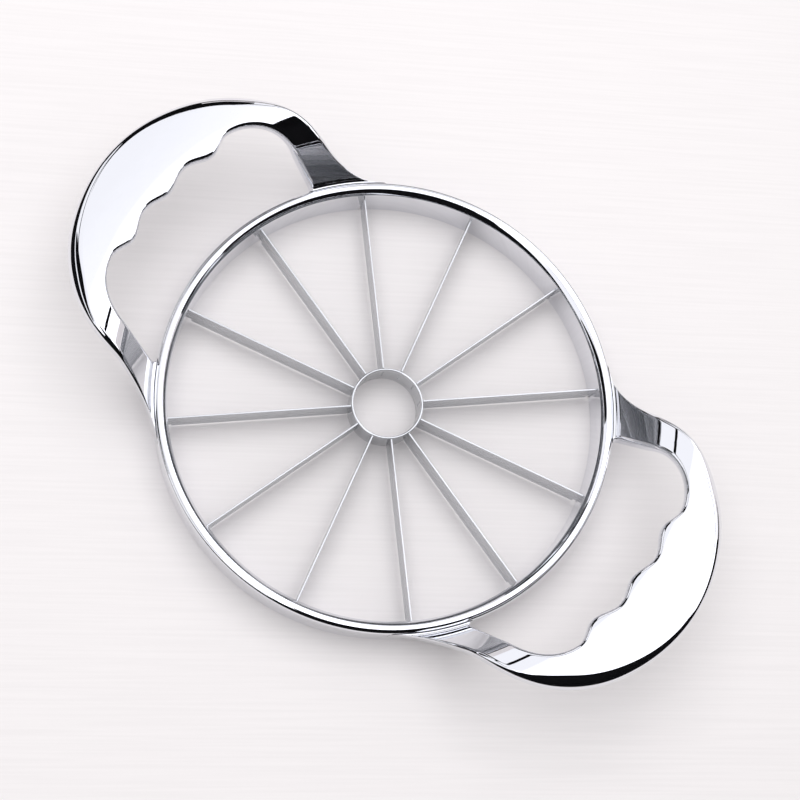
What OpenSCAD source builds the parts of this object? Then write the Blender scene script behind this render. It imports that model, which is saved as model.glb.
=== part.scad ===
// Watermelon slicer: a ring with twelve straight blades round a core tube, and two raised grips.
// Millimetres. The ring stands on z = 0, its axis is Z, and the grips lie along X.

/* [Ring] */
// Outer diameter of the ring
ring_d = 250; // [220:1:280]
// Width of the ring's section, which is also the width of its round top
ring_w = 7; // [6.4:0.1:9]
// Height of the ring
ring_h = 25; // [23.5:0.5:30]
// Wall of the castings
skin = 2; // [1.6:0.1:2.4]

/* [Blades] */
// Number of blades, and so of wedges
blade_count = 12; // [8:2:14]
// Height of a blade strip
blade_h = 17.5; // [14:0.5:18]
// Thickness of a blade strip
blade_t = 0.8; // [0.6:0.1:1.2]
// Height of the ground bevel at the cutting edge
bevel_h = 2.4; // [1:0.1:3]
// Width left at the very edge
edge_t = 0.15; // [0.1:0.05:0.4]
// How far the cutting edges stay above the table
edge_lift = 1; // [0.4:0.1:1.5]
// Height of the tab at each end of a blade
tab_h = 8; // [5:0.5:8.5]
// Length of the relief notch in a blade's lower outer corner
notch_w = 2.5; // [1:0.1:4]
// Height of the relief notch
notch_h = 4.5; // [3:0.1:5]

/* [Core tube] */
// Outer diameter of the core tube
core_d = 39.4; // [32:0.2:60]
// Wall of the core tube
core_t = 1.2; // [0.9:0.1:2]

/* [Handles] */
// Clear depth of the hand opening, from the ring to the finger bumps
hand_gap = 30.5; // [28:0.5:36]
// Width of the grip, from the finger bumps to its outer edge
grip_w = 37.7; // [32:0.1:44]
// Radius in plan of the middle of the grip's outer edge
grip_r = 98; // [90:1:110]
// Radius in plan of the shoulders at both ends of that edge
shoulder_r = 68; // [62:1:76]
// Direction from the grip's middle line at which a shoulder starts
shoulder_a = 27; // [20:1:32]
// Height of the grip's flat top
grip_h = 62.5; // [54:0.5:68]
// Depth of the two middle finger hollows
finger_depth = 3.8; // [2:0.1:5]
// Depth of the two end hollows
heel_depth = 5.6; // [3:0.1:7]
// Distance from one finger bump to the next
finger_pitch = 30.8; // [26:0.2:32]
// Clear width of the hand opening
opening_w = 132.5; // [126:0.5:138]
// Radius of the hand opening's corners
corner_r = 28; // [20:1:30]
// Slope of the legs
leg_slope = 60; // [52:1:64]
// Radius of the bend from leg to grip
bend_r = 27; // [18:1:32]
// Height at which the legs' top meets the ring
root_h = 23.7; // [22:0.1:24.5]
// Radius of the hollow in which each leg runs out at the ring
foot_r = 2; // [1:0.1:3]
// Radius of the flare that runs each leg into the ring
flare_r = 70; // [60:1:80]
// Radius in the corner between leg and ring
root_r = 2.5; // [1.5:0.1:4]
// Depth of the rolled outer edge
skirt_h = 10.5; // [9.5:0.5:13]
// Radius where the top turns into the rolled outer edge
brow_r = 5; // [3:0.5:6]
// Radius of the flatter middle of that edge
flank_r = 16; // [10:0.5:18]
// Radius where that edge turns straight down
hem_r = 4; // [2.5:0.5:5]
// Width of that edge at the grip's middle, as a share of its width at the shoulders
mid_share = 0.5; // [0.4:0.05:1]
// Width of that edge on the legs, as a share of its width at the shoulders
leg_share = 0.4; // [0.35:0.05:1]
// Depth of the inner edge, square to the surface
lip_h = 4.4; // [4:0.1:6]
// Width of the bead under the inner edge
lip_w = 3; // [2.4:0.1:4]
// Rounding of the inner edge
edge_r = 2; // [1:0.1:2.2]

/* [Fits] */
// Clearance between a blade and what holds it, on each side
fit = 0.1; // [0.05:0.01:0.2]
// Clearance at the end of a tab
tab_gap = 0.3; // [0.2:0.05:0.5]
// Clearance between the handle roots and the ring
seat_gap = 0.05; // [0.02:0.01:0.1]

/* [Hidden] */
$fn = 96;
ring_fn = 192;
cut = 1;
ring_r = ring_d / 2;
finger_r = ring_r + hand_gap;
grip_reach = finger_r + grip_w;
ring_in = ring_r - ring_w;
chan_in = ring_in + skin;
chan_out = ring_r - skin;
chan_w = chan_out - chan_in;
tab_z = edge_lift + notch_h + (blade_h - notch_h - tab_h) / 2;
core_r = core_d / 2;

// Leg and grip height against the distance from the ring's axis
root_at = ring_r + seat_gap;
bend_run = bend_r * sin(leg_slope);
bend_fall = bend_r * (1 - cos(leg_slope));
foot_run = foot_r * sin(leg_slope);
foot_rise = foot_r * (1 - cos(leg_slope));
bend_at = root_at + foot_run + bend_run + (grip_h - root_h - bend_fall - foot_rise) / tan(leg_slope);
function fall(d) = d <= 0 ? 0
    : d < bend_run ? bend_r - sqrt(bend_r * bend_r - d * d)
    : bend_fall + (d - bend_run) * tan(leg_slope);
function slope(d) = d <= 0 ? 0 : d < bend_run ? asin(d / bend_r) : leg_slope;
function foot(d) = foot_r - sqrt(foot_r * foot_r - d * d);
function top_z(r) = r < root_at + foot_run ? root_h + foot(max(r - root_at, 0)) : grip_h - fall(bend_at - r);
function plumb(t, r) = t / cos(slope(bend_at - r));

// Plan of one half of a handle, as [radius, angle] about the ring's axis
function polar(p) = [norm(p), atan2(p[1], p[0])];
function flat(q) = [q[0] * cos(q[1]), q[0] * sin(q[1])];
function on_arc(c, r, a) = [c[0] + r * cos(a), c[1] + r * sin(a)];
function mix(a, b, t) = a + (b - a) * t;
function swell(t) = (1 - cos(180 * min(t, 1))) / 2;

// The outer edge: a flare tangent to the ring, a shoulder, then the grip's flatter middle
grip_c = [grip_reach - grip_r, 0];
shoulder_c = on_arc(grip_c, grip_r - shoulder_r, shoulder_a);
function edge_at(a) = a > shoulder_a ? on_arc(shoulder_c, shoulder_r, a) : on_arc(grip_c, grip_r, a);
flare_d = root_at + flare_r;
shoulder_d = norm(shoulder_c);
flare_turn = acos((pow(flare_d, 2) + pow(shoulder_d, 2) - pow(shoulder_r + flare_r, 2))
    / (2 * flare_d * shoulder_d));
flare_c = flat([flare_d, polar(shoulder_c)[1] + flare_turn]);
flare_a0 = polar(flare_c)[1] + 180;
flare_a1 = polar(shoulder_c - flare_c)[1] + 360;
edge_a0 = flare_a1 - 180;
// Directions on that edge which face the ends of the opening's corner
leg_a = 80;
turn_a = 40;

// The inner edge: a nook at the ring, the leg's side, a corner, the finger hollows
side_y = opening_w / 2;
heel_r = finger_r + heel_depth;
corner_y = side_y - corner_r;
corner_c = [sqrt(pow(heel_r - corner_r, 2) - pow(corner_y, 2)), corner_y];
corner_a = polar(corner_c)[1];
nook_y = side_y - root_r;
nook_c = [sqrt(pow(root_at + root_r, 2) - pow(nook_y, 2)), nook_y];
nook_a = polar(nook_c)[1] + 180;
pitch_a = finger_pitch / finger_r * 180 / PI;
function finger(a) = finger_r + (a < pitch_a ? finger_depth * swell(1 - abs(2 * a / pitch_a - 1))
    : heel_depth * swell((a - pitch_a) / (corner_a - pitch_a)));

// Stations along each stretch
nook_n = 3;
leg_n = 8;
flare_n = nook_n + 5;
corner_n = 7;
finger_n = 16;
inner_half = [
    for (i = [0 : nook_n - 1]) polar(on_arc(nook_c, root_r, mix(nook_a, 90, i / nook_n))),
    for (i = [0 : leg_n - 1]) polar([mix(nook_c[0], corner_c[0], i / leg_n), side_y]),
    for (i = [0 : corner_n - 1]) polar(on_arc(corner_c, corner_r, mix(90, corner_a, i / corner_n))),
    for (i = [0 : finger_n]) let (a = mix(corner_a, 0, i / finger_n)) [finger(a), a]
];
outer_half = [
    for (i = [0 : flare_n - 1]) polar(on_arc(flare_c, flare_r, mix(flare_a0, flare_a1, i / flare_n))),
    for (i = [flare_n : nook_n + leg_n - 1])
        polar(edge_at(mix(edge_a0, leg_a, (i - flare_n) / (nook_n + leg_n - flare_n)))),
    for (i = [0 : corner_n - 1]) polar(edge_at(mix(leg_a, turn_a, i / corner_n))),
    for (i = [0 : finger_n]) polar(edge_at(mix(turn_a, 0, i / finger_n)))
];
function mirrored(half) = [for (i = [len(half) - 2 : -1 : 0]) [half[i][0], -half[i][1]]];
inner_line = concat(inner_half, mirrored(inner_half));
outer_line = concat(outer_half, mirrored(outer_half));

// The rolled outer edge as [distance out, fall]: brow, flank and hem, each tangent to the next
brow_a = 42;
flank_a = 62;
roll_n = 2;
function bend(r, a, b) = r * [sin(b) - sin(a), cos(a) - cos(b)];
brow_end = bend(brow_r, 0, brow_a);
flank_end = brow_end + bend(flank_r, brow_a, flank_a);
roll_end = flank_end + bend(hem_r, flank_a, 90);
roll_line = [
    for (k = [0 : roll_n - 1]) bend(brow_r, 0, brow_a * k / roll_n),
    for (k = [0 : roll_n - 1]) brow_end + bend(flank_r, brow_a, mix(brow_a, flank_a, k / roll_n)),
    for (k = [0 : roll_n]) flank_end + bend(hem_r, flank_a, mix(flank_a, 90, k / roll_n))
];

// The roll is widest at the shoulders, in the first of these directions, and thin from the second on
wide_a = 42;
thin_a = 64;
function roll_share(q) = let (a = abs(polar(flat(q) - grip_c)[1]))
    a < wide_a ? mix(mid_share, 1, swell(a / wide_a))
    : mix(1, leg_share, swell((a - wide_a) / (thin_a - wide_a)));

// Sections across the handle: [distance from the inner edge, fall, depth square to the surface]
edge_n = 3;
flat_n = 6;
function outside(w, share) = let (roll = share * roll_line, brow_at = w - share * roll_end[0]) [
    [0, 0, lip_h],
    for (k = [0 : edge_n]) let (a = 90 * k / edge_n) [edge_r * (1 - cos(a)), 0, edge_r * (1 - sin(a))],
    for (k = [1 : flat_n - 1]) [mix(edge_r, brow_at, k / flat_n), 0, 0],
    for (q = roll) [brow_at + q[0], q[1], 0],
    [w, skirt_h, 0]
];
function inside(w, share) = let (roll = share * roll_line, end = share * roll_end, brow_at = w - end[0]) [
    [lip_w, 0, lip_h],
    for (k = [0 : edge_n]) [lip_w, 0, mix(lip_h, skin, (k + 1) / (edge_n + 1))],
    for (k = [1 : flat_n - 1]) [mix(lip_w, brow_at, k / flat_n), 0, skin],
    for (q = roll) [brow_at + q[0] * (1 - skin / end[0]), q[1], skin * (1 - q[1] / end[1])],
    [w - skin, skirt_h, 0]
];
function place(i, q, w) = let (
        at = mix(inner_line[i], outer_line[i], q[0] / w),
        xy = flat(at))
    [xy[0], xy[1], top_z(at[0]) - q[1] - plumb(q[2], at[0])];

// A thick sheet: an outer and an inner grid of points, closed along the rims and at both roots
module handle_shell() {
    rows = len(inner_line);
    widths = [for (i = [0 : rows - 1]) norm(flat(inner_line[i]) - flat(outer_line[i]))];
    shares = [for (q = outer_line) roll_share(q)];
    upper = [for (i = [0 : rows - 1]) [for (q = outside(widths[i], shares[i])) place(i, q, widths[i])]];
    under = [for (i = [0 : rows - 1]) [for (q = inside(widths[i], shares[i])) place(i, q, widths[i])]];
    cols = len(upper[0]);
    function at(i, j) = i * cols + j;
    function below(i, j) = (rows + i) * cols + j;
    quads = [
        for (i = [0 : rows - 2], j = [0 : cols - 2])
            each [[at(i, j), at(i, j + 1), at(i + 1, j + 1), at(i + 1, j)],
                  [below(i, j), below(i + 1, j), below(i + 1, j + 1), below(i, j + 1)]],
        for (i = [0 : rows - 2])
            each [[at(i, 0), at(i + 1, 0), below(i + 1, 0), below(i, 0)],
                  [at(i, cols - 1), below(i, cols - 1), below(i + 1, cols - 1), at(i + 1, cols - 1)]],
        for (j = [0 : cols - 2])
            each [[at(0, j), below(0, j), below(0, j + 1), at(0, j + 1)],
                  [at(rows - 1, j), at(rows - 1, j + 1), below(rows - 1, j + 1), below(rows - 1, j)]]
    ];
    polyhedron(
        points = [for (row = concat(upper, under)) each row],
        faces = [for (q = quads) each [[q[0], q[1], q[2]], [q[0], q[2], q[3]]]],
        convexity = 6);
}

module handle_right() {
    color("silver") handle_shell();
}

module handle_left() {
    color("silver") rotate([0, 0, 180]) handle_shell();
}

// An inverted channel with a full round top; the inner wall has a slot for each blade's tab
module rim() {
    color("gainsboro") difference() {
        rotate_extrude($fn = ring_fn) difference() {
            union() {
                translate([ring_in, 0]) square([ring_w, ring_h - ring_w / 2]);
                translate([ring_in + ring_w / 2, ring_h - ring_w / 2]) circle(d = ring_w);
            }
            translate([chan_in, -cut]) square([chan_w, ring_h - skin - chan_w / 2 + cut]);
            translate([chan_in + chan_w / 2, ring_h - skin - chan_w / 2]) circle(d = chan_w);
        }
        for (k = [0 : blade_count - 1])
            rotate([0, 0, blade_angle(k)])
                translate([ring_in - cut, -blade_t / 2 - fit, -cut])
                    cube([skin + cut + chan_w / 2, blade_t + 2 * fit, tab_z + tab_h + fit + cut]);
    }
}

// A strip ring pressed into the channel from below, which holds the tabs up in their slots
module lock_ring() {
    color("darkgray") rotate_extrude($fn = ring_fn)
        translate([chan_in + fit, edge_lift]) square([chan_w - 2 * fit, tab_z - fit - edge_lift]);
}

module core_tube() {
    color("lightsteelblue") difference() {
        translate([0, 0, edge_lift]) cylinder(r = core_r, h = blade_h);
        translate([0, 0, edge_lift - cut]) cylinder(r = core_r - core_t, h = blade_h + 2 * cut);
        for (k = [0 : blade_count - 1])
            rotate([0, 0, blade_angle(k)])
                translate([core_r - core_t - cut, -blade_t / 2 - fit, tab_z - fit])
                    cube([core_t + 2 * cut, blade_t + 2 * fit, tab_h + 2 * fit]);
    }
}

// The grips lie over the middle of a wedge
function blade_angle(k) = (k + 0.5) * 360 / blade_count;

// A strip ground to an edge along its lower side, with a tab at each end and a relief notch at the ring
module blade(k) {
    blade_in = core_r + fit;
    blade_out = ring_in - fit;
    tab_in = core_r - core_t + fit;
    tab_out = chan_out - tab_gap;
    color("lightgray") rotate([0, 0, blade_angle(k)]) union() {
        difference() {
            translate([blade_in, 0, edge_lift]) rotate([90, 0, 90])
                linear_extrude(blade_out - blade_in) polygon([
                    [-edge_t / 2, 0], [edge_t / 2, 0], [blade_t / 2, bevel_h],
                    [blade_t / 2, blade_h], [-blade_t / 2, blade_h], [-blade_t / 2, bevel_h]]);
            translate([blade_out - notch_w, -blade_t, edge_lift - cut])
                cube([notch_w + cut, 2 * blade_t, notch_h + cut]);
        }
        translate([tab_in, -blade_t / 2, tab_z]) cube([tab_out - tab_in, blade_t, tab_h]);
    }
}

function blade_name(k) = str("blade_", k < 9 ? "0" : "", k + 1);
rim();
lock_ring();
core_tube();
handle_left();
handle_right();
for (k = [0 : blade_count - 1]) blade(k);
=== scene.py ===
from math import acos, asin, atan2, cos, hypot, pi, radians, sin, sqrt, tan

import bmesh
import bpy
from bpy.props import FloatProperty, FloatVectorProperty, IntProperty, PointerProperty
from mathutils import Matrix, Vector


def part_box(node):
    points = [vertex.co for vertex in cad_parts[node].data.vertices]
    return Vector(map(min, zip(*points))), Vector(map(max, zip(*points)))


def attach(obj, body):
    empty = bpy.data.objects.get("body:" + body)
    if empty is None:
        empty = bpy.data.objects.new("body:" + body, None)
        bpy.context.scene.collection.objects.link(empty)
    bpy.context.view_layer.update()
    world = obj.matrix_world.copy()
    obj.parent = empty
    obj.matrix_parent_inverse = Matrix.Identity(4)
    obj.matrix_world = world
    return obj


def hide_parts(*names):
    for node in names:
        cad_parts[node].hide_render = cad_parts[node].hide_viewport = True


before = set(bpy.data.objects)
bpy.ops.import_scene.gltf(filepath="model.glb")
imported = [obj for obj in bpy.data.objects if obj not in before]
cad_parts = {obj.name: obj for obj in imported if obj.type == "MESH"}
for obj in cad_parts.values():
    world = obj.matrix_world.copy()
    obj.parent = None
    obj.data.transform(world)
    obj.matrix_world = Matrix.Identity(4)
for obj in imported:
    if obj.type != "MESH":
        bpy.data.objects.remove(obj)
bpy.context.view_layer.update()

bl_info = {
    "name": "Watermelon slicer",
    "version": (1, 0, 0),
    "blender": (4, 5, 0),
    "location": "View3D > Sidebar > Slicer",
    "description": "Dresses the packed solids of a watermelon slicer in plated and ground metal",
    "category": "Add Mesh",
}

MM = 0.001
BODY = "root"
BLADES = sorted(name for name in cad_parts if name.startswith("blade_"))
RING_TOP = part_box("rim")[1]
GRIP_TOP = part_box("handle_right")[1]
CORE_LOW, CORE_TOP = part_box("core_tube")

# Facets in the ring's lips, outer corner, bevel and channel, and in the core's rims.
LIP_STEPS, CORNER_STEPS, BEVEL_STEPS, CHANNEL_STEPS, RIM_STEPS = 4, 14, 8, 12, 3
# Columns of faces between two blades in the ring and in the core, and sides of the floor.
RING_COLUMNS, CORE_COLUMNS, FLOOR_SIDES = 24, 12, 64


def linear(hex_text):
    """An sRGB hex colour as linear red, green and blue."""
    parts = [int(hex_text[i:i + 2], 16) / 255 for i in (1, 3, 5)]
    return tuple(c / 12.92 if c <= 0.04045 else ((c + 0.055) / 1.055) ** 2.4 for c in parts)


def length(name, default, text):
    return FloatProperty(name=name, description=text, default=default, min=0, unit="LENGTH", precision=5)


def angle(name, in_degrees, text):
    return FloatProperty(name=name, description=text, default=radians(in_degrees), subtype="ANGLE")


def number(name, default, text):
    return FloatProperty(name=name, description=text, default=default, min=0)


def colour(name, hex_text, text):
    return FloatVectorProperty(
        name=name, description=text, default=linear(hex_text), size=3, min=0, max=1, subtype="COLOR")


class RingSizes(bpy.types.PropertyGroup):
    outer_r: length("Outer radius", RING_TOP.x, "From the ring's axis to its outer wall")
    height: length("Height", RING_TOP.z, "From the lower lips to the crest")
    width: length("Width", 7 * MM, "Width of the section")
    corner_r: length("Outer corner", 2.6 * MM, "Rounding between the outer wall and the crest")
    crest_w: length("Crest", 1.4 * MM, "Width of the flat on top")
    bevel_a: angle("Inner bevel", 50, "Middle slope of the bevel from the crest down to the inner wall")
    crown_a: angle("Crown", 8, "How far the bevel's slope changes on either side of its middle")
    ease_r: length("Bevel roundings", 0.9 * MM, "Rounding at both ends of the bevel")
    wall: length("Wall", 2 * MM, "Wall of the castings")
    lip_r: length("Lip rounding", 0.4 * MM, "Rounding of the two lower lips")
    lead: length("Lead", 0.2 * MM, "Straight run kept beside a rounding, so that flats stay flat")
    slot_w: length("Slot width", 1.0 * MM, "Width of the slots that take the blades' tabs")


class BladeSizes(bpy.types.PropertyGroup):
    thickness: length("Thickness", 0.8 * MM, "Gauge of the strip")
    bevel_h: length("Ground edge", 2.4 * MM, "Height of the bevel ground along the lower side")
    edge_t: length("Edge", 0.15 * MM, "Width left at the very edge")
    tab_h: length("Tab height", 8 * MM, "Height of the tab at each end")
    notch_w: length("Notch length", 2.5 * MM, "Length of the relief in the lower outer corner")
    notch_h: length("Notch height", 4.5 * MM, "Height of that relief")
    fit: length("Clearance", 0.1 * MM, "Gap between a blade and what holds it")
    tab_gap: length("Tab end gap", 0.3 * MM, "Gap at the outer end of a tab")
    burr_r: length("Edge break", 0.1 * MM, "Rounding of the strip's cut edges")


class CoreSizes(bpy.types.PropertyGroup):
    outer_r: length("Outer radius", CORE_TOP.x, "Outside of the tube")
    wall: length("Wall", 1.2 * MM, "Wall of the tube")
    rim_r: length("Rim rounding", 0.35 * MM, "Rounding of the tube's two ends")


class HandleSizes(bpy.types.PropertyGroup):
    reach: length("Reach", GRIP_TOP.x, "From the ring's axis to the grip's outer edge")
    height: length("Height", GRIP_TOP.z, "Height of the grip's flat top")
    grip_w: length("Grip width", 37.7 * MM, "From the finger bumps to the outer edge")
    grip_r: length("Grip radius", 98 * MM, "Radius in plan of the outer edge's middle")
    shoulder_r: length("Shoulder radius", 68 * MM, "Radius in plan of the outer edge's shoulders")
    shoulder_a: angle("Shoulder start", 27, "Direction from the grip's middle at which a shoulder starts")
    finger_depth: length("Finger hollow", 3.8 * MM, "Depth of the two middle hollows")
    heel_depth: length("Heel hollow", 5.6 * MM, "Depth of the two end hollows")
    finger_pitch: length("Finger pitch", 30.8 * MM, "From one finger bump to the next")
    opening_w: length("Opening width", 132.5 * MM, "Clear width of the hand opening")
    corner_r: length("Corner radius", 28 * MM, "Radius of the opening's corners")
    leg_slope: angle("Leg slope", 60, "Slope of the legs")
    bend_r: length("Bend radius", 27 * MM, "Radius of the bend from leg to grip")
    root_h: length("Root height", 23.7 * MM, "Height at which the legs' top meets the ring")
    foot_r: length("Foot radius", 2 * MM, "Radius of the hollow in which a leg runs out at the ring")
    seat_gap: length("Seat gap", 0.05 * MM, "Clearance between the roots and the ring")
    flare_r: length("Flare radius", 70 * MM, "Radius of the flare that runs a leg into the ring")
    root_r: length("Root corner", 2.5 * MM, "Radius in the corner between leg and ring")
    skirt_h: length("Skirt", 10.5 * MM, "Depth of the rolled outer edge")
    brow_r: length("Brow radius", 5 * MM, "Radius where the top turns into the rolled outer edge")
    flank_r: length("Flank radius", 16 * MM, "Radius of the flatter middle of that edge")
    hem_r: length("Hem radius", 4 * MM, "Radius where the edge turns straight down")
    brow_a: angle("Brow slope", 42, "Slope where the brow ends and the flank begins")
    flank_a: angle("Flank slope", 62, "Slope where the flank ends and the hem begins")
    mid_share: number("Middle share", 0.5, "Roll's width at the grip's middle, against its shoulders")
    leg_share: number("Leg share", 0.4, "Roll's width on the legs, against its shoulders")
    lip_h: length("Inner lip", 4.4 * MM, "Depth of the inner edge, square to the surface")
    lip_w: length("Inner bead", 3 * MM, "Width of the bead under the inner edge")
    edge_r: length("Edge rounding", 2 * MM, "Rounding of the inner edge")
    detail: IntProperty(name="Detail", description="Stations per modelled step", default=4, min=1, max=8)


class Finishes(bpy.types.PropertyGroup):
    chrome: colour("Chrome", "#E8E9ED", "Bright chrome plate")
    blade: colour("Blade steel", "#C9CBCE", "Rolled stainless strip")
    core: colour("Core steel", "#C6C8CB", "Satin stainless tube")
    strip: colour("Lock strip", "#A9ABAE", "Plain rolled strip")
    floor: colour("Floor", "#F5F1F2", "Matt pale board")


class StageSizes(bpy.types.PropertyGroup):
    azimuth: angle("Azimuth", 6.17, "Camera's turn about the ring's axis")
    elevation: angle("Elevation", 72.64, "Camera's height above the horizon")
    roll: angle("Roll", 33.72, "Camera's turn about its own line of sight")
    distance: length("Distance", 910 * MM, "From the camera to its target")
    target: FloatVectorProperty(
        name="Target", description="Point in the middle of the picture", subtype="TRANSLATION", size=3,
        default=(4.04 * MM, 5.96 * MM, 18.5 * MM))
    lens: number("Lens", 75.78, "Focal length in millimetres")
    floor_r: length("Floor", 8, "Radius of the floor")
    roof_h: length("Roof height", 1.3, "Height of the white tent's roof over the floor")
    roof_r: length("Roof radius", 1.21, "Radius of the roof, where its black seam runs")
    seam_w: length("Seam", 0.3, "Width of that seam")
    tent_level: number("Tent level", 1.15, "White that the metal reflects")
    glow_level: number("Glow level", 2.0, "The same where the tent is lit from behind")
    fill_level: number("Fill level", 0.65, "Light that the tent gives")
    lamp_az: angle("Lamp azimuth", 142, "Direction in which the soft lamp is shifted")
    lamp_shift: length("Lamp shift", 0.4, "How far the lamp stands behind the object")
    lamp_r: length("Lamp radius", 0.8, "Radius of the lamp's face")
    lamp_level: number("Lamp level", 1.7, "Brightness of the lamp's face")
    apron_r: length("Board radius", 0.35, "Where the pale board ends in reflections")
    apron_end: length("Apron radius", 1.6, "Outer radius of the dark floor past the board")
    apron_lift: length("Apron lift", 1 * MM, "Height of that dark floor over the board")
    apron_from: angle("Apron start", 98, "Azimuth at which that dark floor starts")
    apron_to: angle("Apron end", 400, "Azimuth at which it ends")
    booth_r: length("Booth distance", 0.8, "Distance of the dark opening in front of the set")
    booth_h: length("Booth height", 3.2, "Height of that dark opening")
    booth_from: angle("Booth start", -70, "Azimuth at which that opening starts")
    booth_to: angle("Booth end", 18, "Azimuth at which it ends")
    flag_r: length("Flag distance", 0.36, "Distance of the small cards that darken the edge of one grip")
    flag_low: length("Flag height", 0.1, "Height of those cards' lower side")


class SlicerSettings(bpy.types.PropertyGroup):
    ring: PointerProperty(type=RingSizes)
    blade: PointerProperty(type=BladeSizes)
    core: PointerProperty(type=CoreSizes)
    handle: PointerProperty(type=HandleSizes)
    finish: PointerProperty(type=Finishes)
    stage: PointerProperty(type=StageSizes)


def mix(a, b, t):
    return a + (b - a) * t


def swell(t):
    """A smooth rise from 0 to 1."""
    return (1 - cos(pi * min(t, 1))) / 2


def arc(centre, radius, start, end, steps, lead=0):
    """Points on an arc from one angle to another, both ends included, and on a short lead at each end."""
    turns = [mix(start, end, i / steps) for i in range(steps + 1)]
    points = [(centre[0] + radius * cos(a), centre[1] + radius * sin(a)) for a in turns]
    if lead:
        way = lead if end > start else -lead
        (x0, z0), (x1, z1) = points[0], points[-1]
        points.insert(0, (x0 + way * sin(start), z0 - way * cos(start)))
        points.append((x1 - way * sin(end), z1 + way * cos(end)))
    return points


def polar(point):
    return hypot(*point), atan2(point[1], point[0])


def blade_angle(k):
    return (k + 0.5) * 2 * pi / len(BLADES)


def new_piece(name, points, faces, crease=35):
    """A smooth-shaded mesh object with edges sharper than the crease, in degrees, kept crisp."""
    mesh = bpy.data.meshes.new(name)
    mesh.from_pydata(points, [], faces)
    shell = bmesh.new()
    shell.from_mesh(mesh)
    bmesh.ops.recalc_face_normals(shell, faces=shell.faces)
    shell.to_mesh(mesh)
    shell.free()
    mesh.shade_smooth()
    mesh.set_sharp_from_angle(angle=radians(crease))
    piece = bpy.data.objects.new(name, mesh)
    bpy.context.scene.collection.objects.link(piece)
    return piece


def dress(piece, node, material):
    """The piece stands for one solid, which is hidden; it rides with the body's empty and takes the given
    finish.
    """
    piece.data.materials.clear()
    piece.data.materials.append(material)
    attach(piece, BODY)
    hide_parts(node)


def turned_piece(name, profile, gap_a, columns, kept_loops, gap_faces):
    """A closed profile turned about Z, with one narrow gap at each blade.

    In a gap the profile's kept loops go on, and the gap faces close the cut on both sides.
    """
    count = len(profile)
    turns = []
    for k in range(len(BLADES)):
        start = blade_angle(k) + gap_a
        span = 2 * pi / len(BLADES) - 2 * gap_a
        turns.append(blade_angle(k) - gap_a)
        turns += [start + span * i / columns for i in range(columns)]
    points = [(r * cos(a), r * sin(a), z) for a in turns for r, z in profile]
    faces = []
    for c in range(len(turns)):
        here = c * count
        there = (c + 1) % len(turns) * count
        in_gap = c % (columns + 1) == 0
        for loop in kept_loops if in_gap else [list(range(count))]:
            pairs = zip(loop, loop[1:] + loop[:1])
            faces += [(here + i, here + j, there + j, there + i) for i, j in pairs]
        if in_gap:
            faces += [[here + i for i in face] for face in gap_faces]
            faces += [[there + i for i in reversed(face)] for face in gap_faces]
    return new_piece(name, points, faces)


def add(tree, kind, inputs=None, **settings):
    """A node with its settings, and its inputs either linked or set."""
    node = tree.nodes.new(kind)
    for key, value in settings.items():
        setattr(node, key, value)
    for key, value in (inputs or {}).items():
        if isinstance(value, bpy.types.NodeSocket):
            tree.links.new(value, node.inputs[key])
        else:
            node.inputs[key].default_value = value
    return node


def blank_material(name):
    material = bpy.data.materials.new(name)
    material.use_nodes = True
    material.node_tree.nodes.clear()
    return material, material.node_tree


def per_metre(size):
    """A noise scale whose features are about this many metres across."""
    return 1 / size


def bright_chrome_plate(tint):
    """Bright chrome over a buffed zinc casting: a clean mirror that is never quite flat.

    The buffing leaves shallow waves some millimetres long and finer ones on them, which fray the edges
    of reflections, and a faint haze that comes and goes.
    """
    material, tree = blank_material("bright_chrome_plate")
    place = add(tree, "ShaderNodeTexCoord").outputs["Object"]
    wave = add(tree, "ShaderNodeTexNoise", {
        "Vector": place, "Scale": per_metre(9 * MM), "Detail": 1.0, "Roughness": 0.4})
    ripple = add(tree, "ShaderNodeBump", {
        "Strength": 1.0, "Distance": 0.012 * MM, "Height": wave.outputs["Fac"]})
    grain = add(tree, "ShaderNodeTexNoise", {"Vector": place, "Scale": per_metre(2 * MM), "Detail": 1.0})
    fine = add(tree, "ShaderNodeBump", {
        "Strength": 1.0, "Distance": 0.003 * MM, "Height": grain.outputs["Fac"],
        "Normal": ripple.outputs["Normal"]})
    haze = add(tree, "ShaderNodeTexNoise", {"Vector": place, "Scale": per_metre(22 * MM), "Detail": 3.0})
    polish = add(tree, "ShaderNodeMapRange", {
        "Value": haze.outputs["Fac"], "From Min": 0.3, "From Max": 0.75, "To Min": 0.025, "To Max": 0.06})
    shader = add(tree, "ShaderNodeBsdfPrincipled", {
        "Base Color": (*tint, 1), "Metallic": 1.0, "Roughness": polish.outputs["Result"],
        "Normal": fine.outputs["Normal"]})
    add(tree, "ShaderNodeOutputMaterial", {"Surface": shader.outputs["BSDF"]})


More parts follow.
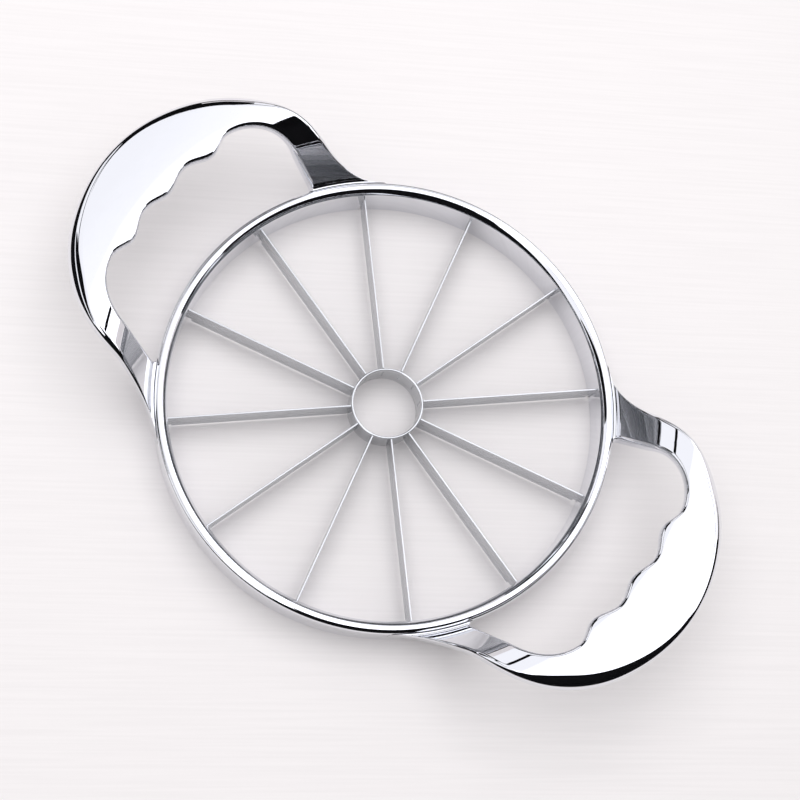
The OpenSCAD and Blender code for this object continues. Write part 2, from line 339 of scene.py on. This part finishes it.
def rolled_steel(name, tint, stretch, rough_low, rough_high):
    """Rolled stainless steel: a soft grey sheen with fine streaks along the way it was rolled.

    Real rolling marks are some hundredths of a millimetre wide; they are drawn coarser, to show.
    """
    material, tree = blank_material(name)
    place = add(tree, "ShaderNodeTexCoord").outputs["Object"]
    along = add(tree, "ShaderNodeMapping", {"Vector": place, "Scale": stretch})
    streak = add(tree, "ShaderNodeTexNoise", {
        "Vector": along.outputs["Vector"], "Scale": per_metre(0.6 * MM), "Detail": 2.0})
    sheen = add(tree, "ShaderNodeMapRange", {
        "Value": streak.outputs["Fac"], "From Min": 0.3, "From Max": 0.7,
        "To Min": rough_low, "To Max": rough_high})
    marks = add(tree, "ShaderNodeBump", {
        "Strength": 0.5, "Distance": 0.003 * MM, "Height": streak.outputs["Fac"]})
    shader = add(tree, "ShaderNodeBsdfPrincipled", {
        "Base Color": (*tint, 1), "Metallic": 1.0, "Roughness": sheen.outputs["Result"],
        "Normal": marks.outputs["Normal"]})
    add(tree, "ShaderNodeOutputMaterial", {"Surface": shader.outputs["BSDF"]})


def matt_board(tint):
    """Pale laminate with a matt face: even, with very faint drawn lines across it."""
    material, tree = blank_material("matt_board")
    place = add(tree, "ShaderNodeTexCoord").outputs["Object"]
    along = add(tree, "ShaderNodeMapping", {
        "Vector": place, "Rotation": (0, 0, radians(39)), "Scale": (50, 1, 1)}, vector_type="TEXTURE")
    line = add(tree, "ShaderNodeTexNoise", {
        "Vector": along.outputs["Vector"], "Scale": per_metre(1.6 * MM), "Detail": 2.0})
    shade = add(tree, "ShaderNodeMapRange", {
        "Value": line.outputs["Fac"], "From Min": 0.35, "From Max": 0.65, "To Min": 0.97, "To Max": 1.0})
    tone = add(tree, "ShaderNodeMix", {
        "Factor": 1.0, "A": (*tint, 1), "B": shade.outputs["Result"]},
        data_type="RGBA", blend_type="MULTIPLY")
    shader = add(tree, "ShaderNodeBsdfPrincipled", {
        "Base Color": tone.outputs["Result"], "Roughness": 0.75, "Specular IOR Level": 0.0})
    add(tree, "ShaderNodeOutputMaterial", {"Surface": shader.outputs["BSDF"]})


def black_felt():
    """Black card of the kind that stands round a set to give metal its dark lines."""
    material, tree = blank_material("black_felt")
    shader = add(tree, "ShaderNodeBsdfDiffuse", {"Color": (*linear("#121214"), 1)})
    add(tree, "ShaderNodeOutputMaterial", {"Surface": shader.outputs["BSDF"]})


class HandleForm:
    """One raised grip on its two legs, lying along +X, as points in the part's frame."""

    # Steps along the opening's nook, leg, corner and finger hollows, and along the outer flare.
    NOOK, LEG, CORNER, FINGER = 3, 8, 7, 16
    FLARE = NOOK + 5
    # Directions on the outer edge that stand across from the two ends of the opening's corner.
    LEG_A, TURN_A = radians(80), radians(40)
    # Directions at which the roll is widest, and at which it has thinned to its width on the legs.
    WIDE_A, THIN_A = radians(42), radians(64)

    def __init__(self, sizes, ring):
        self.s = sizes
        self.wall = ring.wall
        self.root_at = ring.outer_r + sizes.seat_gap
        self.finger_at = sizes.reach - sizes.grip_w
        self.bend_run = sizes.bend_r * sin(sizes.leg_slope)
        self.bend_fall = sizes.bend_r * (1 - cos(sizes.leg_slope))
        self.foot_run = sizes.foot_r * sin(sizes.leg_slope)
        foot_rise = sizes.foot_r * (1 - cos(sizes.leg_slope))
        straight = (sizes.height - sizes.root_h - self.bend_fall - foot_rise) / tan(sizes.leg_slope)
        self.bend_at = self.root_at + self.foot_run + straight + self.bend_run

    def top(self, r):
        """Height of the upper face at a distance from the ring's axis."""
        s = self.s
        d = self.bend_at - r
        out = max(r - self.root_at, 0)
        if d <= 0:
            return s.height
        if d < self.bend_run:
            return s.height - s.bend_r + sqrt(s.bend_r ** 2 - d * d)
        if out < self.foot_run:
            return s.root_h + s.foot_r - sqrt(s.foot_r ** 2 - out * out)
        return s.height - self.bend_fall - (d - self.bend_run) * tan(s.leg_slope)

    def plumb(self, depth, r):
        """A depth square to the upper face, as a depth straight down."""
        d = self.bend_at - r
        if d <= 0:
            return depth
        return depth / cos(asin(d / self.s.bend_r) if d < self.bend_run else self.s.leg_slope)

    def finger(self, a, pitch, corner):
        """Distance of the scalloped edge from the ring's axis, at an angle from the grip's middle."""
        if a < pitch:
            share = 1 - abs(2 * a / pitch - 1)
            return self.finger_at + self.s.finger_depth * swell(share)
        return self.finger_at + self.s.heel_depth * swell((a - pitch) / (corner - pitch))

    def inner_half(self):
        """The opening's edge: a nook at the ring, the leg's side, a corner and the finger hollows."""
        s = self.s
        n = s.detail
        side = s.opening_w / 2
        corner_y = side - s.corner_r
        corner = (sqrt((self.finger_at + s.heel_depth - s.corner_r) ** 2 - corner_y ** 2), corner_y)
        corner_a = atan2(corner[1], corner[0])
        nook_y = side - s.root_r
        nook = (sqrt((self.root_at + s.root_r) ** 2 - nook_y ** 2), nook_y)
        pitch = s.finger_pitch / self.finger_at
        line = [polar(p) for p in arc(nook, s.root_r, polar(nook)[1] + pi, pi / 2, self.NOOK * n)[:-1]]
        for i in range(self.LEG * n):
            line.append(polar((mix(nook[0], corner[0], i / (self.LEG * n)), side)))
        line += [polar(p) for p in arc(corner, s.corner_r, pi / 2, corner_a, self.CORNER * n)[:-1]]
        for i in range(self.FINGER * n + 1):
            a = mix(corner_a, 0, i / (self.FINGER * n))
            line.append((self.finger(a, pitch, corner_a), a))
        return line

    def outer_half(self):
        """The outer edge: a flare tangent to the ring, a shoulder, then half of the flatter middle."""
        s = self.s
        n = s.detail
        grip = (s.reach - s.grip_r, 0)
        inset = s.grip_r - s.shoulder_r
        shoulder = (grip[0] + inset * cos(s.shoulder_a), inset * sin(s.shoulder_a))
        far, bearing = polar(shoulder)
        out = self.root_at + s.flare_r
        lean = acos((out ** 2 + far ** 2 - (s.shoulder_r + s.flare_r) ** 2) / (2 * out * far))
        flare = (out * cos(bearing + lean), out * sin(bearing + lean))
        start = bearing + lean + pi
        end = atan2(shoulder[1] - flare[1], shoulder[0] - flare[0]) + 2 * pi
        line = [polar(p) for p in arc(flare, s.flare_r, start, end, self.FLARE * n)[:-1]]
        stretches = (
            (end - pi, self.LEG_A, self.NOOK + self.LEG - self.FLARE),
            (self.LEG_A, self.TURN_A, self.CORNER),
            (self.TURN_A, 0, self.FINGER))
        for a, b, steps in stretches:
            for i in range(steps * n):
                turn = mix(a, b, i / (steps * n))
                centre, radius = (shoulder, s.shoulder_r) if turn > s.shoulder_a else (grip, s.grip_r)
                line.append(polar((centre[0] + radius * cos(turn), centre[1] + radius * sin(turn))))
        return line + [(s.reach, 0)]

    def roll(self, steps):
        """The rolled outer edge as (distance out, fall): brow, flank and hem, one tangent to the next."""
        s = self.s
        bends = ((s.brow_r, 0, s.brow_a), (s.flank_r, s.brow_a, s.flank_a), (s.hem_r, s.flank_a, pi / 2))
        line = [(0, 0)]
        for radius, start, end in bends:
            x, fall = line[-1]
            for k in range(1, steps + 1):
                a = mix(start, end, k / steps)
                line.append((x + radius * (sin(a) - sin(start)), fall + radius * (cos(start) - cos(a))))
        return line

    def roll_share(self, r, a):
        """How wide the roll is at a point of the outer edge: most at the shoulders, least on the legs."""
        s = self.s
        turn = abs(atan2(r * sin(a), r * cos(a) - (s.reach - s.grip_r)))
        if turn < self.WIDE_A:
            return mix(s.mid_share, 1, swell(turn / self.WIDE_A))
        return mix(1, s.leg_share, swell((turn - self.WIDE_A) / (self.THIN_A - self.WIDE_A)))

    def sections(self, width, share):
        """Upper and under section as (distance from the inner edge, fall, depth square to the surface)."""
        s = self.s
        n = s.detail
        roll = [(share * x, share * fall) for x, fall in self.roll(2 * n)]
        run, depth = roll[-1]
        edge = [pi / 2 * k / (3 * n) for k in range(3 * n + 1)]
        flat = [k / (6 * n) for k in range(1, 6 * n)]
        upper = [(0, 0, s.lip_h)]
        upper += [(s.edge_r * (1 - cos(a)), 0, s.edge_r * (1 - sin(a))) for a in edge]
        upper += [(mix(s.edge_r, width - run, t), 0, 0) for t in flat]
        upper += [(width - run + x, fall, 0) for x, fall in roll]
        upper += [(width, s.skirt_h, 0)]
        under = [(s.lip_w, 0, s.lip_h)]
        under += [(s.lip_w, 0, mix(s.lip_h, self.wall, (k + 1) / len(edge))) for k in range(len(edge))]
        under += [(mix(s.lip_w, width - run, t), 0, self.wall) for t in flat]
        under += [(width - run + x * (1 - self.wall / run), fall, self.wall * (1 - fall / depth))
                  for x, fall in roll]
        under += [(width - self.wall, s.skirt_h, 0)]
        return upper, under

    def grids(self):
        """The upper and the under face as rows of points, from one root round to the other."""
        halves = [self.inner_half(), self.outer_half()]
        inner, outer = [half + [(r, -a) for r, a in half[-2::-1]] for half in halves]
        upper, under = [], []
        for (ri, ai), (ro, ao) in zip(inner, outer):
            width = hypot(ri * cos(ai) - ro * cos(ao), ri * sin(ai) - ro * sin(ao))
            for grid, section in zip((upper, under), self.sections(width, self.roll_share(ro, ao))):
                row = []
                for across, fall, depth in section:
                    r = mix(ri, ro, across / width)
                    a = mix(ai, ao, across / width)
                    row.append((r * cos(a), r * sin(a), self.top(r) - fall - self.plumb(depth, r)))
                grid.append(row)
        return upper, under

    def mesh_data(self):
        """The two faces joined along both edges and at both roots."""
        upper, under = self.grids()
        rows, cols = len(upper), len(upper[0])
        points = [p for grid in (upper, under) for row in grid for p in row]
        half = rows * cols
        faces = []
        for i in range(rows - 1):
            for j in range(cols - 1):
                a = i * cols + j
                b = a + cols
                faces.append((a, a + 1, b + 1, b))
                faces.append((half + a, half + b, half + b + 1, half + a + 1))
            for a in (i * cols, i * cols + cols - 1):
                faces.append((a, a + cols, half + a + cols, half + a))
        for start in (0, (rows - 1) * cols):
            for a in range(start, start + cols - 1):
                faces.append((a, a + 1, half + a + 1, half + a))
        return points, faces


class SLICER_OT_ring(bpy.types.Operator):
    """Turn the ring with its flat crest, inner bevel, hollow underside and a slot at each blade"""

    bl_idname = "slicer.ring"
    bl_label = "Ring"

    def execute(self, context):
        settings = context.scene.slicer
        s = settings.ring
        inner = s.outer_r - s.width
        crest_in = s.outer_r - s.corner_r - s.crest_w
        ease_z = s.height - s.ease_r
        upper, lower = s.bevel_a - s.crown_a, s.bevel_a + s.crown_a
        bevel_r = s.ease_r + (crest_in - inner - s.ease_r) / (sin(lower) - sin(upper))
        bevel_x = crest_in + (bevel_r - s.ease_r) * sin(upper)
        bevel_z = ease_z - (bevel_r - s.ease_r) * cos(upper)
        foot_z = bevel_z + (bevel_r - s.ease_r) * cos(lower)
        chan_r = s.width / 2 - s.wall
        mid = s.outer_r - s.width / 2
        slot_top = tab_low(settings) + settings.blade.tab_h + settings.blade.fit
        corner = (s.outer_r - s.corner_r, s.height - s.corner_r)
        profile = arc((s.outer_r - s.lip_r, s.lip_r), s.lip_r, -pi / 2, 0, LIP_STEPS, s.lead)
        profile += arc(corner, s.corner_r, 0, pi / 2, CORNER_STEPS, s.lead)
        profile += arc((crest_in, ease_z), s.ease_r, pi / 2, pi / 2 + upper, BEVEL_STEPS)
        profile += arc((bevel_x, bevel_z), bevel_r, pi / 2 + upper, pi / 2 + lower, BEVEL_STEPS)[1:-1]
        profile += arc((inner + s.ease_r, foot_z), s.ease_r, pi / 2 + lower, pi, BEVEL_STEPS, s.lead)[1:]
        slot_from = len(profile)
        profile += [(inner, slot_top)]
        profile += arc((inner + s.lip_r, s.lip_r), s.lip_r, pi, 1.5 * pi, LIP_STEPS, s.lead)
        profile += arc((mid - chan_r - s.lip_r, s.lip_r), s.lip_r, -pi / 2, 0, LIP_STEPS, s.lead)
        profile += [(mid - chan_r, slot_top)]
        slot_to = len(profile) - 1
        profile += arc((mid, s.height - s.wall - chan_r), chan_r, pi, 0, CHANNEL_STEPS)
        profile += arc((mid + chan_r + s.lip_r, s.lip_r), s.lip_r, pi, 1.5 * pi, LIP_STEPS, s.lead)
        kept = list(range(slot_from + 1)) + list(range(slot_to, len(profile)))
        cut_face = list(range(slot_from, slot_to + 1))
        gap_a = asin(s.slot_w / 2 / inner)
        ring = turned_piece("ring", profile, gap_a, RING_COLUMNS, [kept], [cut_face])
        dress(ring, "rim", bpy.data.materials["bright_chrome_plate"])
        return {"FINISHED"}


class SLICER_OT_handles(bpy.types.Operator):
    """Loft the two raised grips with their finger hollows, legs and rolled outer edges"""

    bl_idname = "slicer.handles"
    bl_label = "Handles"

    def execute(self, context):
        settings = context.scene.slicer
        points, faces = HandleForm(settings.handle, settings.ring).mesh_data()
        for side, turn in (("right", 0), ("left", pi)):
            placed = [Matrix.Rotation(turn, 3, "Z") @ Vector(p) for p in points]
            grip = new_piece(f"grip_{side}", placed, faces)
            dress(grip, f"handle_{side}", bpy.data.materials["bright_chrome_plate"])
        return {"FINISHED"}


def tab_low(settings):
    """Height of the lower side of the blades' tabs."""
    blade = settings.blade
    blade_h = CORE_TOP.z - CORE_LOW.z
    return CORE_LOW.z + blade.notch_h + (blade_h - blade.notch_h - blade.tab_h) / 2


class SLICER_OT_core(bpy.types.Operator):
    """Turn the core tube with eased rims and a window for each blade's tab"""

    bl_idname = "slicer.core"
    bl_label = "Core tube"

    def execute(self, context):
        settings = context.scene.slicer
        s = settings.core
        low, top = CORE_LOW.z, CORE_TOP.z
        sill = tab_low(settings) - settings.blade.fit
        head = sill + settings.blade.tab_h + 2 * settings.blade.fit
        inner = s.outer_r - s.wall
        profile = arc((s.outer_r - s.rim_r, low + s.rim_r), s.rim_r, -pi / 2, 0, RIM_STEPS)
        outer_sill = len(profile)
        profile += [(s.outer_r, sill), (s.outer_r, head)]
        profile += arc((s.outer_r - s.rim_r, top - s.rim_r), s.rim_r, 0, pi / 2, RIM_STEPS)
        profile += arc((inner + s.rim_r, top - s.rim_r), s.rim_r, pi / 2, pi, RIM_STEPS)
        inner_head = len(profile)
        profile += [(inner, head), (inner, sill)]
        profile += arc((inner + s.rim_r, low + s.rim_r), s.rim_r, pi, 1.5 * pi, RIM_STEPS)
        above = list(range(outer_sill + 1, inner_head + 1))
        below = list(range(outer_sill + 1)) + list(range(inner_head + 1, len(profile)))
        window = [outer_sill, outer_sill + 1, inner_head, inner_head + 1]
        gap_a = asin(settings.ring.slot_w / 2 / s.outer_r)
        core = turned_piece("core", profile, gap_a, CORE_COLUMNS, [above, below], [window])
        dress(core, "core_tube", bpy.data.materials["satin_stainless_tube"])
        return {"FINISHED"}


class SLICER_OT_blades(bpy.types.Operator):
    """Cut the blades from strip, with a ground edge, a tab at each end and a relief notch"""

    bl_idname = "slicer.blades"
    bl_label = "Blades"

    def execute(self, context):
        settings = context.scene.slicer
        s = settings.blade
        ring_in = settings.ring.outer_r - settings.ring.width
        start, end = settings.core.outer_r + s.fit, ring_in - s.fit
        tab_start = settings.core.outer_r - settings.core.wall + s.fit
        tab_end = settings.ring.outer_r - settings.ring.wall - s.tab_gap
        low, top = CORE_LOW.z, CORE_TOP.z
        ground = low + s.bevel_h
        tab_z = tab_low(settings)
        tab_top = tab_z + s.tab_h
        notch_x, notch_z = end - s.notch_w, low + s.notch_h
        outline = [
            (start, ground), (notch_x, ground), (notch_x, notch_z), (end, notch_z), (end, tab_z),
            (tab_end, tab_z), (tab_end, tab_top), (end, tab_top), (end, top), (start, top),
            (start, tab_top), (tab_start, tab_top), (tab_start, tab_z), (start, tab_z)]
        count = len(outline)
        half, edge = s.thickness / 2, s.edge_t / 2
        points = [(x, y, z) for y in (half, -half) for x, z in outline]
        points += [(x, y, low) for y in (edge, -edge) for x in (start, notch_x)]
        a, b, c, d = range(2 * count, 2 * count + 4)
        faces = [list(range(count)), list(range(2 * count - 1, count - 1, -1))]
        faces += [(i, (i + 1) % count, count + (i + 1) % count, count + i) for i in range(1, count)]
        faces += [(0, 1, b, a), (count, c, d, count + 1), (a, b, d, c)]
        faces += [(0, a, c, count), (1, count + 1, d, b)]
        for k, node in enumerate(BLADES):
            strip = new_piece(node.replace("blade", "strip"), points, faces, crease=5)
            strip.rotation_euler.z = blade_angle(k)
            burr = strip.modifiers.new("edge break", "BEVEL")
            burr.width = s.burr_r
            burr.segments = 2
            burr.limit_method = "ANGLE"
            burr.angle_limit = radians(60)
            dress(strip, node, bpy.data.materials["rolled_stainless_strip"])
        return {"FINISHED"}


class SLICER_OT_lock_ring(bpy.types.Operator):
    """Give the strip ring inside the channel its plain rolled finish"""

    bl_idname = "slicer.lock_ring"
    bl_label = "Lock ring"

    def execute(self, context):
        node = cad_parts["lock_ring"]
        node.data.materials.clear()
        node.data.materials.append(bpy.data.materials["plain_rolled_strip"])
        return {"FINISHED"}


class SLICER_OT_finishes(bpy.types.Operator):
    """Make the metal and board finishes that the pieces share"""

    bl_idname = "slicer.finishes"
    bl_label = "Finishes"

    def execute(self, context):
        s = context.scene.slicer.finish
        bright_chrome_plate(s.chrome)
        rolled_steel("rolled_stainless_strip", s.blade, (0.03, 1, 1), 0.2, 0.32)
        rolled_steel("satin_stainless_tube", s.core, (1, 1, 0.04), 0.06, 0.11)
        rolled_steel("plain_rolled_strip", s.strip, (0.1, 0.1, 1), 0.3, 0.42)
        matt_board(s.floor)
        black_felt()
        return {"FINISHED"}


def stage_piece(name, points, faces, material):
    """A piece of the set, which isn't part of the object."""
    piece = new_piece(name, points, faces)
    piece.data.materials.append(bpy.data.materials[material])
    return piece


# Low cards round the set, which draw thin dark lines along bright edges: the finish, the heights in
# metres at both ends, and the azimuths in degrees between which the card stands.
LOW_CARDS = (
    ("black_felt", 0.24, 0.24, 18, 37),
    ("matt_board", 0.24, 0.24, 37, 62),
    ("black_felt", 0.2, 0.2, 62, 126),
    ("matt_board", 0.2, 0.2, 126, 142),
    ("black_felt", 0.2, 0.2, 142, 172),
    ("black_felt", 0.1, 0.1, 172, 242),
    ("black_felt", 0.1, 0.46, 242, 278),
    ("black_felt", 0.46, 1.2, 278, 290))

# Small black cards close to one grip, which darken its rolled outer edge: the heights of the upper side
# in metres at both ends, and the azimuths in degrees.
FLAGS = ((0.47, 0.47, 139, 170), (0.42, 0.14, 195, 232))

# How far a direction leans along X where the tent starts to glow, and where it glows in full.
GLOW_FROM, GLOW_TO = -0.24, -0.03


def card(name, lower, upper, start, end, finish="black_felt", climb=0.0, steps=48):
    """A card bent round the object between two circles given as (radius, height).

    Its upper side climbs evenly from its start to its end, or falls. It shows only in reflections, so it
    takes no light from the object and hides it from no side.
    """
    points = []
    for i in range(steps + 1):
        turn = mix(start, end, i / steps)
        for radius, height in (lower, (upper[0], upper[1] + climb * i / steps)):
            points.append((radius * cos(turn), radius * sin(turn), height))
    faces = [(2 * i, 2 * i + 2, 2 * i + 3, 2 * i + 1) for i in range(steps)]
    piece = stage_piece(name, points, faces, finish)
    piece.visible_camera = False
    piece.visible_diffuse = False
    piece.visible_shadow = False


class SLICER_OT_stage(bpy.types.Operator):
    """Set up the board, the white tent, the soft lamp, the cards and the camera"""

    bl_idname = "slicer.stage"
    bl_label = "Stage"

    def execute(self, context):
        scene = context.scene
        s = scene.slicer.stage
        turns = [2 * pi * i / FLOOR_SIDES for i in range(FLOOR_SIDES)]
        rim = [(s.floor_r * cos(a), s.floor_r * sin(a), 0) for a in turns]
        stage_piece("floor", rim, [list(range(FLOOR_SIDES))], "matt_board")
        self.tent(scene, s)
        self.lamp(scene, s)
        self.cards(s)
        self.camera(scene, s)
        scene.view_settings.view_transform = "Standard"
        return {"FINISHED"}

    def tent(self, scene, s):
        """A world that lights evenly, and that shows in metal as white cloth, brighter on one side."""
        room = bpy.data.worlds.new("white_tent")
        room.use_nodes = True
        tree = room.node_tree
        tree.nodes.clear()
        ray = add(tree, "ShaderNodeLightPath").outputs
        shown = add(tree, "ShaderNodeMath", {
            0: ray["Is Camera Ray"], 1: ray["Is Glossy Ray"]}, operation="MAXIMUM")
        seen = add(tree, "ShaderNodeMath", {
            0: shown.outputs["Value"], 1: ray["Is Transmission Ray"]}, operation="MAXIMUM")
        fill = add(tree, "ShaderNodeBackground", {"Strength": s.fill_level, "Color": (1, 1, 1, 1)})
        way = add(tree, "ShaderNodeSeparateXYZ", {0: add(tree, "ShaderNodeTexCoord").outputs["Generated"]})
        glow = add(tree, "ShaderNodeMapRange", {
            "Value": way.outputs["X"], "From Min": GLOW_FROM, "From Max": GLOW_TO,
            "To Min": s.tent_level, "To Max": s.glow_level})
        white = add(tree, "ShaderNodeBackground", {
            "Strength": glow.outputs["Result"], "Color": (*linear("#FBFBFF"), 1)})
        both = add(tree, "ShaderNodeMixShader", {
            "Fac": seen.outputs["Value"], 1: fill.outputs["Background"], 2: white.outputs["Background"]})
        add(tree, "ShaderNodeOutputWorld", {"Surface": both.outputs["Shader"]})
        scene.world = room

    def lamp(self, scene, s):
        """A round lamp over the tent's roof, which casts the soft shadows and shows in no reflection."""
        light = bpy.data.lights.new("softbox", "AREA")
        light.shape = "DISK"
        light.size = 2 * s.lamp_r
        # An even face sends out its brightness times pi times its area.
        light.energy = s.lamp_level * pi * pi * s.lamp_r ** 2
        softbox = bpy.data.objects.new("softbox", light)
        softbox.location = (s.lamp_shift * cos(s.lamp_az), s.lamp_shift * sin(s.lamp_az), s.roof_h)
        softbox.visible_camera = False
        softbox.visible_glossy = False
        scene.collection.objects.link(softbox)

    def cards(self, s):
        """What the chrome mirrors: the roof's seam, the dark floor and opening, and the small cards."""
        seam_r = s.roof_r + s.seam_w
        card("seam", (s.roof_r, s.roof_h), (seam_r, s.roof_h), 0, 2 * pi)
        card("apron", (s.apron_r, s.apron_lift), (s.apron_end, s.apron_lift), s.apron_from, s.apron_to)
        card("booth", (s.booth_r, 0), (s.booth_r, s.booth_h), s.booth_from, s.booth_to)
        for k, (first, last, start, end) in enumerate(FLAGS):
            card(f"flag_{k + 1}", (s.flag_r, s.flag_low), (s.flag_r, first),
                 radians(start), radians(end), climb=last - first)
        for k, (finish, first, last, start, end) in enumerate(LOW_CARDS):
            card(f"low_card_{k + 1}", (s.booth_r, 0), (s.booth_r, first),
                 radians(start), radians(end), finish, last - first)

    def camera(self, scene, s):
        az, el = s.azimuth, s.elevation
        back = Vector((cos(el) * sin(az), -cos(el) * cos(az), sin(el)))
        level = Vector((cos(az), sin(az), 0))
        rise = back.cross(level)
        right = cos(s.roll) * level + sin(s.roll) * rise
        up = cos(s.roll) * rise - sin(s.roll) * level
        lens = bpy.data.cameras.new("camera")
        lens.lens = s.lens
        lens.sensor_width = 36
        camera = bpy.data.objects.new("camera", lens)
        turn = Matrix((right, up, back)).transposed().to_4x4()
        camera.matrix_world = Matrix.Translation(Vector(s.target) + s.distance * back) @ turn
        scene.collection.objects.link(camera)
        scene.camera = camera


class SLICER_PT_parts(bpy.types.Panel):
    """The slicer's pieces, in the order in which they are made"""

    bl_idname = "SLICER_PT_parts"
    bl_label = "Watermelon slicer"
    bl_space_type = "VIEW_3D"
    bl_region_type = "UI"
    bl_category = "Slicer"

    def draw(self, context):
        for step in STEPS:
            self.layout.operator(step.bl_idname)


STEPS = (
    SLICER_OT_finishes, SLICER_OT_ring, SLICER_OT_handles, SLICER_OT_core, SLICER_OT_blades,
    SLICER_OT_lock_ring, SLICER_OT_stage)
CLASSES = (
    RingSizes, BladeSizes, CoreSizes, HandleSizes, Finishes, StageSizes, SlicerSettings,
    *STEPS, SLICER_PT_parts)


def register():
    for cls in CLASSES:
        bpy.utils.register_class(cls)
    bpy.types.Scene.slicer = PointerProperty(type=SlicerSettings)


def unregister():
    del bpy.types.Scene.slicer
    for cls in reversed(CLASSES):
        bpy.utils.unregister_class(cls)


def main():
    register()
    bpy.ops.slicer.finishes()
    bpy.ops.slicer.ring()
    bpy.ops.slicer.handles()
    bpy.ops.slicer.core()
    bpy.ops.slicer.blades()
    bpy.ops.slicer.lock_ring()
    bpy.ops.slicer.stage()


if __name__ == "__main__":
    main()
